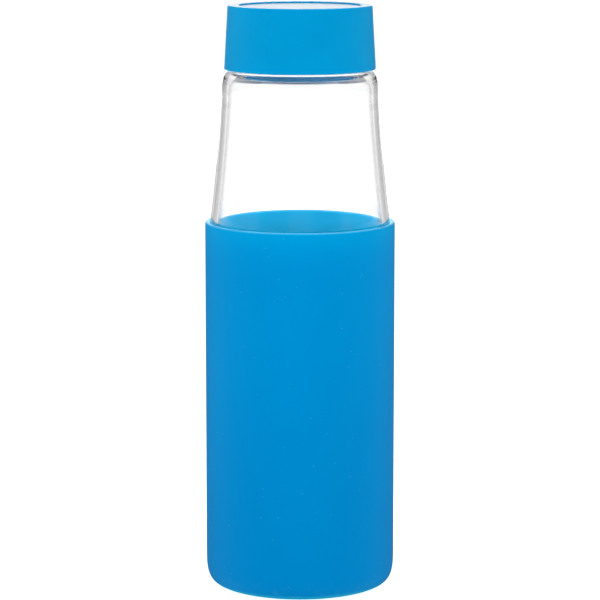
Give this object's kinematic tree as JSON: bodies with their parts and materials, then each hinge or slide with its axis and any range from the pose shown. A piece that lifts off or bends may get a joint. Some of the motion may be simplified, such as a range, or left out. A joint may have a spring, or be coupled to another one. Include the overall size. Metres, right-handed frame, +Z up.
{
  "type": "glass water bottle",
  "caption": "Clear glass water bottle with a threaded neck, a wide screw lid with a seal, and a silicone sleeve that grips the lower two thirds.",
  "frame": {"origin": "centre of the sleeve's flat base, on the surface that the bottle stands on", "axes": "+Z up along the bottle's axis, towards the lid; the shape is round, so X and Y are free, and the threads start at +X"},
  "size_m": [0.073, 0.073, 0.2245],
  "materials": {
    "clear_glass": "polished clear glass",
    "blue_silicone": "matte moulded silicone",
    "blue_lid": "satin moulded polypropylene",
    "blue_liner": "plain moulded polypropylene",
    "blue_seal": "soft blue silicone"
  },
  "bodies": {
    "sleeve": {"silicone_sleeve": "blue_silicone"},
    "bottle": {"glass_bottle": "clear_glass"},
    "seal": {"lid_seal": "blue_seal"},
    "lid": {"lid_shell": "blue_lid", "lid_liner": "blue_liner"}
  },
  "joints": [
    {"name": "bottle_slide", "type": "slide", "parent": "sleeve", "child": "bottle", "axis": [0, 0, 1], "range_m": [0, 0.15]},
    {"name": "lid_lift", "type": "slide", "parent": "bottle", "child": "seal", "axis": [0, 0, 1], "range_m": [0, 0.027]},
    {"name": "lid_turn", "type": "hinge", "parent": "seal", "child": "lid", "pos_m": [0, 0, 0.21], "axis": [0, 0, 1], "range_deg": [0, 1080]}
  ],
  "couplings": [
    {"joint": "lid_lift", "follows": "lid_turn", "m_per_rad": 0.0014323}
  ]
}
